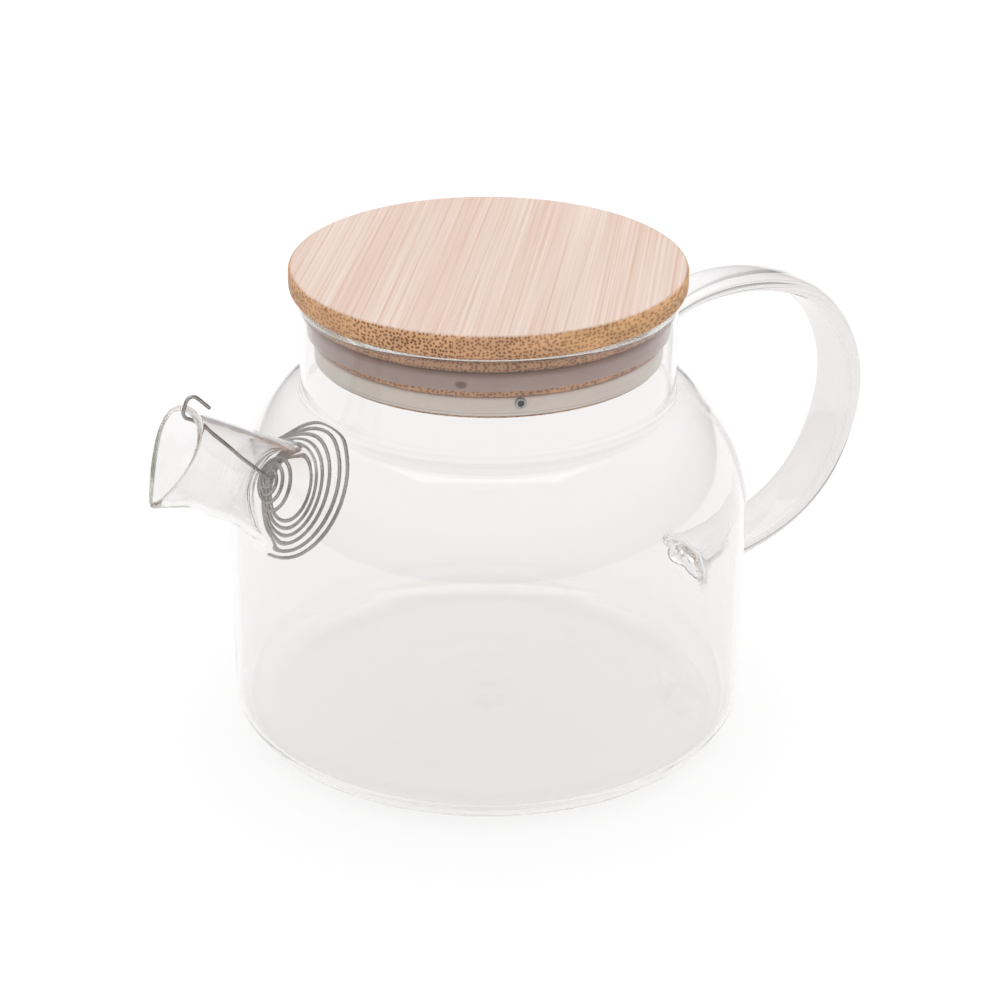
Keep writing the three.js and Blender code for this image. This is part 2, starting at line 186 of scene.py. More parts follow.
def spun(profile, steps):
    """A surface of revolution about Z from points of (radius, height), going up the outside."""
    bm = bmesh.new()
    verts = [bm.verts.new((radius, 0, height)) for radius, height in profile]
    edges = [bm.edges.new(pair) for pair in zip(verts, verts[1:])]
    bmesh.ops.spin(bm, geom=verts + edges, cent=ORIGIN, axis=Z_AXIS, dvec=ORIGIN, angle=2 * pi, steps=steps,
                   use_merge=True, use_duplicate=False)
    bmesh.ops.remove_doubles(bm, verts=bm.verts[:], dist=1e-7)
    bmesh.ops.recalc_face_normals(bm, faces=bm.faces[:])
    return bm


def arc(centre, radius, start, stop, steps):
    """Points of (radius, height) round a centre, between two angles in degrees."""
    angles = [radians(start + (stop - start) * k / steps) for k in range(steps + 1)]
    return [(centre[0] + radius * cos(a), centre[1] + radius * sin(a)) for a in angles]


def smooth_curve(points, spacing):
    """Points close together on a centripetal Catmull-Rom curve through the given ones."""
    ends = [2 * points[0] - points[1], *points, 2 * points[-1] - points[-2]]
    path = []
    for p0, p1, p2, p3 in zip(ends, ends[1:], ends[2:], ends[3:]):
        t1 = sqrt((p1 - p0).length)
        t2 = t1 + sqrt((p2 - p1).length)
        t3 = t2 + sqrt((p3 - p2).length)
        steps = max(1, ceil((p2 - p1).length / spacing))
        for k in range(steps):
            t = t1 + (t2 - t1) * k / steps
            a1 = p0.lerp(p1, t / t1)
            a2 = p1.lerp(p2, (t - t1) / (t2 - t1))
            a3 = p2.lerp(p3, (t - t2) / (t3 - t2))
            path.append(a1.lerp(a2, t / t2).lerp(a2.lerp(a3, (t - t1) / (t3 - t1)), (t - t1) / (t2 - t1)))
    return path + [points[-1]]


def rotated(vector, angle):
    """A vector turned about Z."""
    return Matrix.Rotation(angle, 3, "Z") @ vector


# Glass ------------------------------------------------------------------------

SEGMENTS = 64               # cage faces round the pot
FLOOR_RINGS = 10
CAGE_ROUNDS = 10            # rounds of fitting the cage to the outline
HALVINGS = 30               # of the stretch in which a line meets the wall
SHOULDER_POWER = 2 / 1.65   # how full the shoulder's curve is
OPENING_HALF_WIDTH = 2      # in cage faces, of the openings for the spout and the handle
SPOUT_TILT = radians(26.5)
SPOUT_SIDES = 16
SPOUT_RINGS = (27.5, 23.5, 19.5, 16.5, 14, 12, 10, 8, 6, 4, 2.2, 0.9, 0)    # millimetres behind the lip
SPOUT_EASED = 4             # rings in which the weld's outline turns into a flat one
HANDLE_RINGS = 26
STRAP_WIDTH, STRAP_THICKNESS = 12.5 * MM, 4 * MM    # at the handle's upper end
STRAP_TAPER = 0.4           # share of the handle in which its upper end narrows
STRAP_CAGE = 1.045          # how much larger the strap's cage is than the strap
WELD_SWELL = 2.8 * MM       # how much wider the strap is at its welds
WELD_LENGTH = 4 * MM
WELD_REACH = 3.2 * MM       # from a weld to the nearest ring of the strap
SPOUT_ALONG = Vector((cos(SPOUT_TILT), 0, -sin(SPOUT_TILT)))
SPOUT_UP = Vector((sin(SPOUT_TILT), 0, cos(SPOUT_TILT)))


def on_spout(sizes, back, up=0.0, side=0.0):
    """A point given by its distance behind the spout's lip, above the tube's axis and beside it."""
    lip = Vector((-sizes.body_radius - sizes.spout_reach, 0, sizes.lip_height))
    return lip + SPOUT_ALONG * back + SPOUT_UP * up + Y_AXIS * side


def wall_radius(sizes, height, inset=0.0):
    """Radius of the pot's outer surface, or of one that lies inside it, above the base's corner."""
    fillet = sizes.neck_fillet + inset
    fillet_radius = sizes.neck_radius + sizes.neck_fillet
    fillet_height = sizes.wall_top + sizes.shoulder_height + sizes.neck_fillet
    if height <= sizes.wall_top:
        return sizes.body_radius - inset
    if height <= fillet_height - fillet:
        rise = min(1, (height - sizes.wall_top) / (sizes.shoulder_height - inset)) ** (1 / SHOULDER_POWER)
        out = sqrt(1 - rise * rise) ** SHOULDER_POWER
        return fillet_radius + (sizes.body_radius - inset - fillet_radius) * out
    if height <= fillet_height:
        return fillet_radius - sqrt(fillet ** 2 - (fillet_height - height) ** 2)
    return sizes.neck_radius - inset


def wall_back(sizes, up, side, inset=0.0):
    """How far behind the lip a line along the spout meets the pot's wall."""
    near, far = 0.0, 60 * MM
    for _ in range(HALVINGS):
        middle = (near + far) / 2
        point = on_spout(sizes, middle, up, side)
        if hypot(point.x, point.y) > wall_radius(sizes, point.z, inset):
            near = middle
        else:
            far = middle
    return near


def pot_outline(sizes):
    """Rings of (radius, height) of the outer skin, and the number of the first ring of each part."""
    flat = sizes.body_radius - sizes.corner_radius
    rings = [(flat * k / FLOOR_RINGS, 0) for k in range(FLOOR_RINGS)]
    rings += arc((flat, sizes.corner_radius), sizes.corner_radius, -90, 0, 4)
    starts = {"foot": len(rings)}
    rings += [(sizes.body_radius, sizes.handle_foot + shift * MM) for shift in (-4.5, 0, 4.5)]
    clear = rings[-1][1]
    rings += [(sizes.body_radius, clear + (sizes.wall_top - clear) * share)
              for share in (0.25, 0.5, 0.75, 1)]
    starts["spout"] = len(rings)
    for degrees in (12, 25, 38, 51, 64, 77, 90):
        height = sizes.wall_top + sizes.shoulder_height * sin(radians(degrees)) ** SHOULDER_POWER
        rings.append((wall_radius(sizes, height), height))
    neck_foot = sizes.wall_top + sizes.shoulder_height + sizes.neck_fillet
    rings += arc((sizes.neck_radius + sizes.neck_fillet, neck_foot), sizes.neck_fillet, 225, 180, 1)
    starts["neck"] = len(rings)
    weld = handle_points(sizes)[0].z
    rings += [(sizes.neck_radius, weld + shift * MM) for shift in (-2.8, 0, 2.8)]
    rings += [(sizes.neck_radius, weld + (sizes.mouth_height - weld) * share)
              for share in (0.35, 0.62, 0.82)]
    bead = ((0.1, -2.2), (0.38, -1.1), (0.2, 0.15))
    rings += [(sizes.neck_radius + out * MM, sizes.mouth_height + rise * MM) for out, rise in bead]
    return rings, starts


def cage_of(points):
    """Cage points whose subdivided curve runs through the given points."""
    cage = list(points)
    for _ in range(CAGE_ROUNDS):
        for k in range(1, len(points) - 1):
            cage[k] = tuple((6 * points[k][i] - cage[k - 1][i] - cage[k + 1][i]) / 4 for i in (0, 1))
    return cage


def round_cage(sides):
    """How much larger a ring of a cage is than the circle that it is subdivided to."""
    return 3 / (2 + cos(2 * pi / sides))


def lip_bead(back):
    """How far the fire-polished lip swells out and in, in millimetres."""
    return 0.28 * exp(-(((back - 0.9 * MM) / (0.9 * MM)) ** 2))


def spout_radius(sizes, back, angle, root):
    """Outer radius of the spout, where angle 0 is its top side and root is where it meets the pot."""
    below = (1 - cos(angle)) / 2
    along = min(1, max(0, back / root))
    lip = (0.6 + 0.9 * below) * exp(-back / (6 * MM)) + lip_bead(back)
    waist = 1.2 * below * exp(-(((back - 9 * MM) / (4 * MM)) ** 2))
    weld = min(1, max(0, 1 - (root - back) / (14 * MM)))
    ring = 0.5 * exp(-(((root - back - 1.5 * MM) / (2.2 * MM)) ** 2))
    flare = 4 * below * weld ** 2 - 1.8 * (1 - below) * along ** 2
    return sizes.spout_radius + (lip - waist + ring + flare) * MM


def spout_point(sizes, back, angle, root):
    """A point of the spout's cage, whose lip is pinched narrower underneath."""
    below = (1 - cos(angle)) / 2
    radius = spout_radius(sizes, back, angle, root) * round_cage(SPOUT_SIDES)
    pinch = 1 - 0.7 * below * max(0, 1 - back / (13 * MM)) ** 1.5
    return on_spout(sizes, back, radius * cos(angle), radius * sin(angle) * pinch)


def handle_points(sizes):
    """The handle's middle line, from the weld on the neck to the weld on the wall."""
    far = sizes.body_radius + sizes.handle_reach
    rise = sizes.handle_rise - sizes.handle_foot
    corner = {0.71: 1, 0.33: 0.92, 0.1: 0.76, 0: 0.555, 0.06: 0.35, 0.22: 0.18, 0.5: 0.066}
    route = [(sizes.neck_radius - 0.8 * MM, 0.92), (sizes.neck_radius + 14 * MM, 0.995)]
    route += [(far - sizes.handle_reach * share, height) for share, height in corner.items()]
    route += [(sizes.body_radius - 0.8 * MM, 0)]
    return [Vector((x, 0, sizes.handle_foot + rise * share)) for x, share in route]


def extruded_ring(bm, ring, places):
    """Extrudes a ring of keyed vertices by one row, and puts each new vertex at its key's place."""
    edges = [edge for edge in bm.edges if edge.is_boundary and all(vert in ring for vert in edge.verts)]
    made = bmesh.ops.extrude_edge_only(bm, edges=edges)["geom"]
    verts = [item for item in made if isinstance(item, bmesh.types.BMVert)]
    new = {}
    for vert in verts:
        old = next(edge.other_vert(vert) for edge in vert.link_edges if edge.other_vert(vert) in ring)
        new[vert] = ring[old]
    for vert, key in new.items():
        vert.co = places[key]
    return new


def open_faces(bm, middle, low, high, radius):
    """Deletes the skin's faces near an angle, between two heights and outside a radius. Returns the rim."""
    reach = OPENING_HALF_WIDTH * 2 * pi / SEGMENTS

    def chosen(face):
        centre = face.calc_center_median()
        turn = (atan2(centre.y, centre.x) - middle + pi) % (2 * pi) - pi
        return abs(turn) < reach and low < centre.z < high and hypot(centre.x, centre.y) > radius

    faces = [face for face in bm.faces if chosen(face)]
    rim = {vert for face in faces for vert in face.verts}
    bmesh.ops.delete(bm, geom=faces, context="FACES")
    return [vert for vert in rim if vert.is_valid]


def relax_around(bm, rim, surface, rows, rounds):
    """Spreads the skin's vertices evenly round an opening, and keeps them on the surface they came from."""
    near, edge = set(rim), set(rim)
    for _ in range(rows):
        edge = {other for vert in edge for e in vert.link_edges for other in e.verts} - near
        near |= edge
    loose = [vert for vert in near if vert not in rim]
    for _ in range(rounds):
        bmesh.ops.smooth_vert(bm, verts=loose, factor=0.5, use_axis_x=True, use_axis_y=True,
                              use_axis_z=True)
        for vert in loose:
            vert.co = surface.find_nearest(vert.co)[0]


def add_spout(bm, sizes, cage, first):
    """Opens the shoulder and draws the spout out of it, ring by ring."""
    surface = BVHTree.FromBMesh(bm)
    step = 2 * pi / SPOUT_SIDES
    rim = open_faces(bm, pi, cage[first][1], cage[first + 4][1], 0)

    def turn(vert):
        away = vert.co - on_spout(sizes, 0)
        return (atan2(away.y, away.dot(SPOUT_UP)) + step / 2) % (2 * pi)

    root = wall_back(sizes, 0, 0)
    ring = {vert: k * step for k, vert in enumerate(sorted(rim, key=turn))}
    weld = {}
    for vert, angle in ring.items():
        start = spout_point(sizes, root, angle, root) - SPOUT_ALONG * root
        vert.co = surface.ray_cast(start, SPOUT_ALONG)[0]
        weld[angle] = (vert.co - on_spout(sizes, 0)).dot(SPOUT_ALONG)
    relax_around(bm, rim, surface, rows=3, rounds=6)
    for k, back in enumerate(SPOUT_RINGS, start=1):
        share = max(0, 1 - k / SPOUT_EASED)
        places = {angle: spout_point(sizes, back * MM + (weld[angle] - root) * share, angle, root)
                  for angle in weld}
        ring = extruded_ring(bm, ring, places)


def handle_ring(rim, centre, step):
    """Keys the twelve vertices of an opening by their angle round the strap's section."""
    keys = {}
    for vert in rim:
        column = round(atan2(vert.co.y, vert.co.x) / step)
        row = 0 if abs(vert.co.z - centre) < 1 * MM else (1 if vert.co.z > centre else -1)
        keys[vert] = radians(row * (90 - 30 * column)) if row else (0 if column > 0 else pi)
    return keys


def strap_offset(angle, width, thickness):
    """A point of the strap's rounded section, as its distances across the width and the thickness."""
    across = abs(cos(angle)) ** (2 / 3) * width / 2
    through = abs(sin(angle)) ** (2 / 3) * thickness / 2
    return (across if cos(angle) >= 0 else -across, through if sin(angle) >= 0 else -through)


def add_handle(bm, sizes, cage, starts):
    """Draws the handle's strap out of the wall and welds its far end to the neck."""
    step = 2 * pi / SEGMENTS
    points = handle_points(sizes)
    path = smooth_curve(points[::-1], 0.5 * MM)
    far = [0.0]
    for here, after in zip(path, path[1:]):
        far.append(far[-1] + (after - here).length)
    whole = far[-1]

    def section(distance):
        """The strap's middle, the direction of its thickness, its width and its thickness."""
        at = min(range(len(path)), key=lambda k: abs(far[k] - distance))
        ahead = (path[min(at + 1, len(path) - 1)] - path[max(at - 1, 0)]).normalized()
        share = min(1, (1 - distance / whole) / STRAP_TAPER)
        share = share * share * (3 - 2 * share)
        swell = WELD_SWELL * exp(-min(distance, whole - distance) / WELD_LENGTH)
        width = STRAP_WIDTH + (sizes.handle_width - STRAP_WIDTH) * share + swell
        thickness = STRAP_THICKNESS + (sizes.handle_thickness - STRAP_THICKNESS) * share + swell
        return path[at], ahead.cross(Y_AXIS), width * STRAP_CAGE, thickness * STRAP_CAGE

    rings = []
    for name, end, radius in (("foot", 0, sizes.body_radius), ("neck", whole, sizes.neck_radius)):
        first = starts[name]
        rim = open_faces(bm, 0, cage[first][1], cage[first + 2][1], radius - sizes.body_wall / 2)
        centre, _, width, thickness = section(end)
        keys = handle_ring(rim, cage[first + 1][1], step)
        for vert, angle in keys.items():
            across, through = strap_offset(angle, width, thickness)
            reach = radius * round_cage(SEGMENTS)
            vert.co = Vector((sqrt(reach ** 2 - across ** 2), across, centre.z + through))
        rings.append(keys)
    ring = rings[0]
    for k in range(1, HANDLE_RINGS):
        distance = WELD_REACH + (whole - 2 * WELD_REACH) * (k - 1) / (HANDLE_RINGS - 2)
        centre, normal, width, thickness = section(distance)
        places = {}
        for angle in ring.values():
            across, through = strap_offset(angle, width, thickness)
            places[angle] = centre + Y_AXIS * across + normal * through
        ring = extruded_ring(bm, ring, places)
    bmesh.ops.bridge_loops(bm, edges=[edge for edge in bm.edges if edge.is_boundary])


def thicken_base(bm, sizes):
    """Raises the inner floor to its thickness, with the faint rings and middle bump of a turned base."""
    flat = sizes.body_radius - sizes.corner_radius
    for vert in bm.verts:
        reach = hypot(vert.co.x, vert.co.y)
        if reach < flat and 0.5 * MM < vert.co.z < 3 * MM:
            ripple = 0.2 * MM * cos(reach / flat * FLOOR_RINGS * pi) * (1 - reach / flat)
            bump = 0.95 * MM * exp(-((reach / (4 * MM)) ** 2))
            vert.co.z = sizes.floor_thickness + ripple + bump


def face_outwards(bm):
    """Turns an open skin's faces away from Z."""
    bmesh.ops.recalc_face_normals(bm, faces=bm.faces[:])
    level = Vector((1, 1, 0))
    if sum(face.normal.dot(face.calc_center_median() * level) for face in bm.faces) < 0:
        bmesh.ops.reverse_faces(bm, faces=bm.faces[:])


def glass_mesh(sizes):
    """One mesh for the whole pot: an open skin with its spout, thickened, and then the handle's strap."""
    rings, starts = pot_outline(sizes)
    cage = cage_of(rings)
    grow = round_cage(SEGMENTS)
    bm = spun([(radius * grow, height) for radius, height in cage], SEGMENTS)
    face_outwards(bm)
    add_spout(bm, sizes, cage, starts["spout"])
    face_outwards(bm)
    bmesh.ops.solidify(bm, geom=bm.faces[:], thickness=sizes.body_wall)
    thicken_base(bm, sizes)
    add_handle(bm, sizes, cage, starts)
    bmesh.ops.recalc_face_normals(bm, faces=bm.faces[:])
    return mesh_from(bm, "glass_pot")


# Materials --------------------------------------------------------------------

class Nodes:
    """A new material's node tree, built a node at a time."""

    def __init__(self, name):
        self.material = bpy.data.materials.new(name)
        self.material.use_nodes = True
        self.tree = self.material.node_tree
        self.tree.nodes.clear()

    def add(self, kind, sockets=None, **settings):
        """Adds a node, whose sockets are each given a value or linked to an output."""
        node = self.tree.nodes.new("ShaderNode" + kind)
        for key, value in settings.items():
            setattr(node, key, value)
        for socket, value in (sockets or {}).items():
            if isinstance(value, bpy.types.NodeSocket):
                self.tree.links.new(value, node.inputs[socket])
            else:
                node.inputs[socket].default_value = value
        return node

    def coordinates(self, scale=(1, 1, 1), angle=0.0, middle=(0, 0, 0)):
        """Object coordinates from a middle, divided by the pattern's cell sizes along turned axes."""
        place = self.add("TexCoord").outputs["Object"]
        sockets = {"Vector": place, "Location": middle, "Rotation": (0, 0, angle), "Scale": scale}
        return self.add("Mapping", sockets, vector_type="TEXTURE").outputs["Vector"]

    def noise(self, vector, detail=2.0, roughness=0.5):
        """Noise with cells of about one unit of the coordinates."""
        sockets = {"Vector": vector, "Scale": 1.0, "Detail": detail, "Roughness": roughness}
        return self.add("TexNoise", sockets).outputs["Fac"]

    def spread(self, value, low, high, to_low=0.0, to_high=1.0):
        """The value, carried from one stretch of numbers over to another."""
        sockets = {"Value": value, "From Min": low, "From Max": high, "To Min": to_low, "To Max": to_high}
        return self.add("MapRange", sockets).outputs["Result"]

    def maths(self, operation, first, second=0.0):
        """The result of one sum on two values."""
        return self.add("Math", {0: first, 1: second}, operation=operation).outputs["Value"]

    def mix(self, factor, first, second, blend="MIX"):
        """A mix of two colours, each a socket or three numbers."""
        first, second = (tone if isinstance(tone, bpy.types.NodeSocket) else (*tone, 1)
                         for tone in (first, second))
        sockets = {0: factor, 6: first, 7: second}
        return self.add("Mix", sockets, data_type="RGBA", blend_type=blend).outputs[2]

    def bump(self, height, strength, distance):
        """A normal that follows a height."""
        sockets = {"Height": height, "Strength": strength, "Distance": distance}
        return self.add("Bump", sockets).outputs["Normal"]

    def output(self, shader, volume=None):
        """Finishes the material with its surface, and its volume if it has one."""
        node = self.add("OutputMaterial", {"Surface": shader})
        if volume:
            self.tree.links.new(volume, node.inputs["Volume"])
        return self.material


STRAP_FADE = 22 * MM        # stretch of the handle in which the clear glass turns to its painted shade


def scaled(tone, factor):
    """A colour made lighter or darker, and no lighter than white."""
    return tuple(min(1, channel * factor) for channel in tone)


def glass_material(clear, strap, tint, strap_start):
    """Clear glass with faint waves, with painted shade in the handle for the darker surroundings that it
    reflects, and tinted where light runs far through it.
    """
    nodes = Nodes("clear_glass")
    waves = nodes.noise(nodes.coordinates((18 * MM, 18 * MM, 30 * MM)), detail=1.5)
    # Painted shade: past the body's radius the glass turns to the handle's greyer tone, for the darker
    # surroundings that the strap reflects.
    out = nodes.add("SeparateXYZ", {0: nodes.coordinates()}).outputs["X"]
    body = nodes.mix(nodes.spread(out, strap_start, strap_start + STRAP_FADE), clear, strap)
    glass = nodes.add("BsdfPrincipled", {
        "Base Color": body, "Roughness": 0.0, "IOR": 1.47, "Transmission Weight": 1.0,
        "Normal": nodes.bump(waves, 0.12, 1.2 * MM)})
    lit = nodes.add("BsdfTransparent", {"Color": (0.97, 0.98, 0.975, 1)})
    lamp = nodes.add("LightPath").outputs["Is Shadow Ray"]
    shader = nodes.add("MixShader", {0: lamp, 1: glass.outputs[0], 2: lit.outputs[0]})
    tinted = nodes.add("VolumeAbsorption", {"Color": (*tint, 1), "Density": 1.5})
    return nodes.output(shader.outputs[0], tinted.outputs[0])


def bamboo_material(name, colours, angle, face=1.0, contrast=1.0, warmth=1.0, shade=1.0):
    """Laminated bamboo, whose fibre bundles are dots in end grain and lines in a planed face."""
    nodes = Nodes(name)
    along = nodes.add("SeparateXYZ", {0: nodes.coordinates((1, 0.9 * MM, 0.9 * MM), angle)})
    section = nodes.add("CombineXYZ", {0: along.outputs["Y"], 1: along.outputs["Z"]}).outputs[0]
    dots = nodes.add("TexVoronoi", {"Vector": section, "Scale": 1.0, "Randomness": 0.8},
                     voronoi_dimensions="2D").outputs["Distance"]
    dot = nodes.spread(dots, 0.18, 0.45, 1.0, 0.0)
    patches = nodes.noise(nodes.coordinates((60 * MM, 7 * MM, 3 * MM), angle), detail=2)
    lines = nodes.noise(nodes.coordinates((120 * MM, 0.75 * MM, 0.9 * MM), angle), detail=4, roughness=0.6)
    bands = nodes.noise(nodes.coordinates((220 * MM, 5.5 * MM, 6 * MM), angle), detail=3, roughness=0.6)
    up = nodes.add("SeparateXYZ", {0: nodes.add("NewGeometry").outputs["Normal"]}).outputs["Z"]
    planed = nodes.spread(up, 0.62, 0.97, 0.0, face)

    end = tuple(channel * scale for channel, scale in zip(colours.bamboo_end, (1, 1, 1 / warmth)))
    end_tone = nodes.mix(nodes.spread(patches, 0.35, 0.68), end, scaled(end, 0.78))
    dark = nodes.maths("MULTIPLY", dot, nodes.spread(patches, 0.25, 0.75, 0.55 * contrast, 0.95 * contrast))
    end_grain = nodes.mix(dark, end_tone, colours.bamboo_fibre)

    line = nodes.spread(lines, 0.52, 0.70, 0.0, 0.8)
    band = nodes.spread(bands, 0.40, 0.66, 0.0, 0.30)
    plane = nodes.mix(band, colours.bamboo_face, colours.bamboo_streak)
    plane = nodes.mix(line, plane, colours.bamboo_streak)
    bright = nodes.spread(lines, 0.47, 0.30, 0.0, 0.5)
    plane = nodes.mix(bright, plane, colours.bamboo_pale)
    tone = nodes.mix(planed, end_grain, plane)
    # A shade above 1 paints light into the colour: it brightens the bamboo to offset a shadow that falls on
    # it.
    if shade != 1:
        tone = nodes.mix(1.0, tone, (shade, shade * 0.97, shade * 0.95), "MULTIPLY")

    relief = nodes.maths("SUBTRACT", lines, nodes.maths("MULTIPLY", dot, 0.6))
    wood = nodes.add("BsdfPrincipled", {
        "Base Color": tone, "Roughness": nodes.spread(lines, 0.3, 0.7, 0.5, 0.66),
        "Specular IOR Level": 0.35, "Normal": nodes.bump(relief, 0.25, 0.12 * MM)})
    return nodes.output(wood.outputs[0])


def silicone_material(name, tone, line_height=None, spot=None, dimple_shade_tone=None):
    """Soft translucent silicone with a moulded bloom, and if asked for a thin dark line round it or a spot
    of painted shade.
    """
    nodes = Nodes(name)
    bloom = nodes.noise(nodes.coordinates((3 * MM, 3 * MM, 1.6 * MM)), detail=4, roughness=0.65)
    clouds = nodes.noise(nodes.coordinates((22 * MM, 22 * MM, 5 * MM)), detail=2)
    shade = nodes.mix(nodes.spread(clouds, 0.35, 0.7, 0.0, 0.6), tone, scaled(tone, 0.86))
    shade = nodes.mix(nodes.spread(bloom, 0.45, 0.7, 0.0, 0.25), shade, scaled(tone, 1.18))
    # A thin dark line painted round the band at the given height, just above its lower edge.
    if line_height:
        height = nodes.add("SeparateXYZ", {0: nodes.coordinates()}).outputs["Z"]
        away = nodes.maths("ABSOLUTE", nodes.maths("SUBTRACT", height, line_height))
        line = nodes.spread(away, 0.06 * MM, 0.16 * MM, 0.45, 0.0)
        shade = nodes.mix(line, shade, scaled(tone, 0.45))
    # Painted shade: a dark spot round the dimple's middle, for the shadow that falls in the dimple.
    if spot:
        around = nodes.coordinates((1.7 * MM, 1.7 * MM, 1.15 * MM), middle=spot)
        reach = nodes.add("TexGradient", {0: around}, gradient_type="SPHERICAL").outputs["Fac"]
        shade = nodes.mix(nodes.spread(reach, 0.0, 0.4, 0.0, 0.85), shade, dimple_shade_tone)
    soft = nodes.add("BsdfPrincipled", {
        "Base Color": shade, "Roughness": nodes.spread(bloom, 0.3, 0.7, 0.34, 0.5), "IOR": 1.41,
        "Subsurface Weight": 0.35, "Subsurface Radius": (1.2, 1.0, 0.9), "Subsurface Scale": 1.5 * MM,
        "Normal": nodes.bump(bloom, 0.15, 0.05 * MM)})
    return nodes.output(soft.outputs[0])


def steel_material(name, tone):
    """Drawn stainless steel with fine marks and small changes of gloss."""
    nodes = Nodes(name)
    marks = nodes.noise(nodes.coordinates((0.5 * MM, 0.5 * MM, 0.5 * MM)), detail=4, roughness=0.7)
    wear = nodes.noise(nodes.coordinates((6 * MM, 6 * MM, 6 * MM)), detail=2)
    shade = nodes.mix(nodes.spread(wear, 0.35, 0.7), tone, scaled(tone, 0.72))
    metal = nodes.add("BsdfPrincipled", {
        "Base Color": shade, "Metallic": 1.0, "Roughness": nodes.spread(marks, 0.3, 0.7, 0.2, 0.36),
        "Normal": nodes.bump(marks, 0.2, 0.02 * MM)})
    return nodes.output(metal.outputs[0])


# Lid --------------------------------------------------------------------------

LID_STEPS, SEAL_STEPS, PIN_STEPS = 160, 300, 48      # faces round each of them
SUPPORT = 0.4 * MM          # from a flat face's edge to its support ring


def disc_profile(sizes, radius):
    """The disc's outline, with a narrow support ring where its flat faces meet the round edges."""
    low, high = DISC_LOW.z, DISC_HIGH.z
    top, under = sizes.top_round, sizes.under_round
    profile = [(0, low), (radius * 0.5, low), (radius - under - SUPPORT, low)]
    profile += arc((radius - under, low + under), under, -90, 0, 8)
    profile += arc((radius - top, high - top), top, 0, 90, 7)
    return profile + [(radius - top - SUPPORT, high), (radius * 0.5, high), (0, high)]


STAVE_LOOKS = ((1.04, 0.8), (1.0, 1.25), (0.96, 0.95), (1.1, 0.8))     # warmth and dots' contrast


def stave_mesh(sizes, radius, name, low, high):
    """The part of the disc between two seams, each seam edge a little eased."""
    across = rotated(-Y_AXIS, sizes.grain_angle)
    bm = spun(disc_profile(sizes, radius), LID_STEPS)
    ease = 0.01 * MM
    for offset, outside in ((low, -1), (high, 1)):
        if offset is None:
            continue
        everything = bm.verts[:] + bm.edges[:] + bm.faces[:]
        cut = bmesh.ops.bisect_plane(bm, geom=everything, plane_co=across * (offset - outside * ease),
                                     plane_no=across * outside, clear_outer=True)["geom_cut"]
        edges = [item for item in cut if isinstance(item, bmesh.types.BMEdge)]
        bmesh.ops.contextual_create(bm, geom=edges)
        for edge in edges:
            edge.smooth = False
        bmesh.ops.bevel(bm, geom=edges, offset=ease, offset_type="OFFSET", segments=2, profile=0.5,
                        affect="EDGES", material=-1)
    return mesh_from(bm, name)


def plug_profile():
    """The plug's outline, with a groove for each seal and eased edges."""
    radius, low, high = PLUG_HIGH.x, PLUG_LOW.z, PLUG_HIGH.z
    inside = radius - 1.3 * MM
    ease, small_ease, gap = 0.5 * MM, 0.1 * MM, 0.2 * MM
    profile = [(0, low), (radius * 0.6, low), (radius - ease - 0.3 * MM, low)]
    profile += arc((radius - ease, low + ease), ease, -90, 0, 4)
    for bottom, top in ((LOWER_LOW.z - gap, LOWER_HIGH.z + gap), (UPPER_LOW.z - gap, UPPER_HIGH.z + gap)):
        profile += [(radius, bottom - small_ease), (radius - small_ease, bottom), (inside, bottom)]
        profile += [(inside, top), (radius - small_ease, top), (radius, top + small_ease)]
    profile += [(radius, high - 0.3 * MM), (radius - 0.3 * MM, high), (radius * 0.6, high)]
    return profile + [(0, high)]


def seal_profile(inner, outer, low, high, round_off):
    """Outline of a rounded band with a slightly bulged face, whose last point leads back to its first."""
    bulge, ease = 0.12 * MM, 0.2 * MM
    profile = arc((outer - round_off - bulge, low + round_off), round_off, -90, 0, 5)
    middle, half = (low + high) / 2, (high - low) / 2 - round_off
    heights = [k / 5 for k in range(-4, 5)]
    profile += [(outer - bulge * t * t, middle + half * t) for t in heights]
    profile += arc((outer - round_off - bulge, high - round_off), round_off, 0, 90, 5)
    return profile + [(inner + ease, high), (inner, high - ease), (inner, low + ease), (inner + ease, low)]


DIMPLE_HALF_WIDTH, DIMPLE_HALF_HEIGHT = 1.7 * MM, 1.0 * MM
DIMPLE_DEPTH = 0.35 * MM


def seal_mesh(name, inner, outer, low, high, round_off, dimple=None):
    """A seal's band, pressed in a little round the dimple where one is given."""
    profile = seal_profile(inner, outer, low, high, round_off)
    bm = spun(profile + profile[:1], SEAL_STEPS)
    for vert in bm.verts if dimple else ():
        away = vert.co - dimple
        reach = (away.z / DIMPLE_HALF_HEIGHT) ** 2 + (hypot(away.x, away.y) / DIMPLE_HALF_WIDTH) ** 2
        if hypot(vert.co.x, vert.co.y) > outer - 0.5 * MM:
            outwards = Vector((vert.co.x, vert.co.y, 0)).normalized()
            vert.co -= outwards * DIMPLE_DEPTH * exp(-reach ** 2)
    return mesh_from(bm, name)


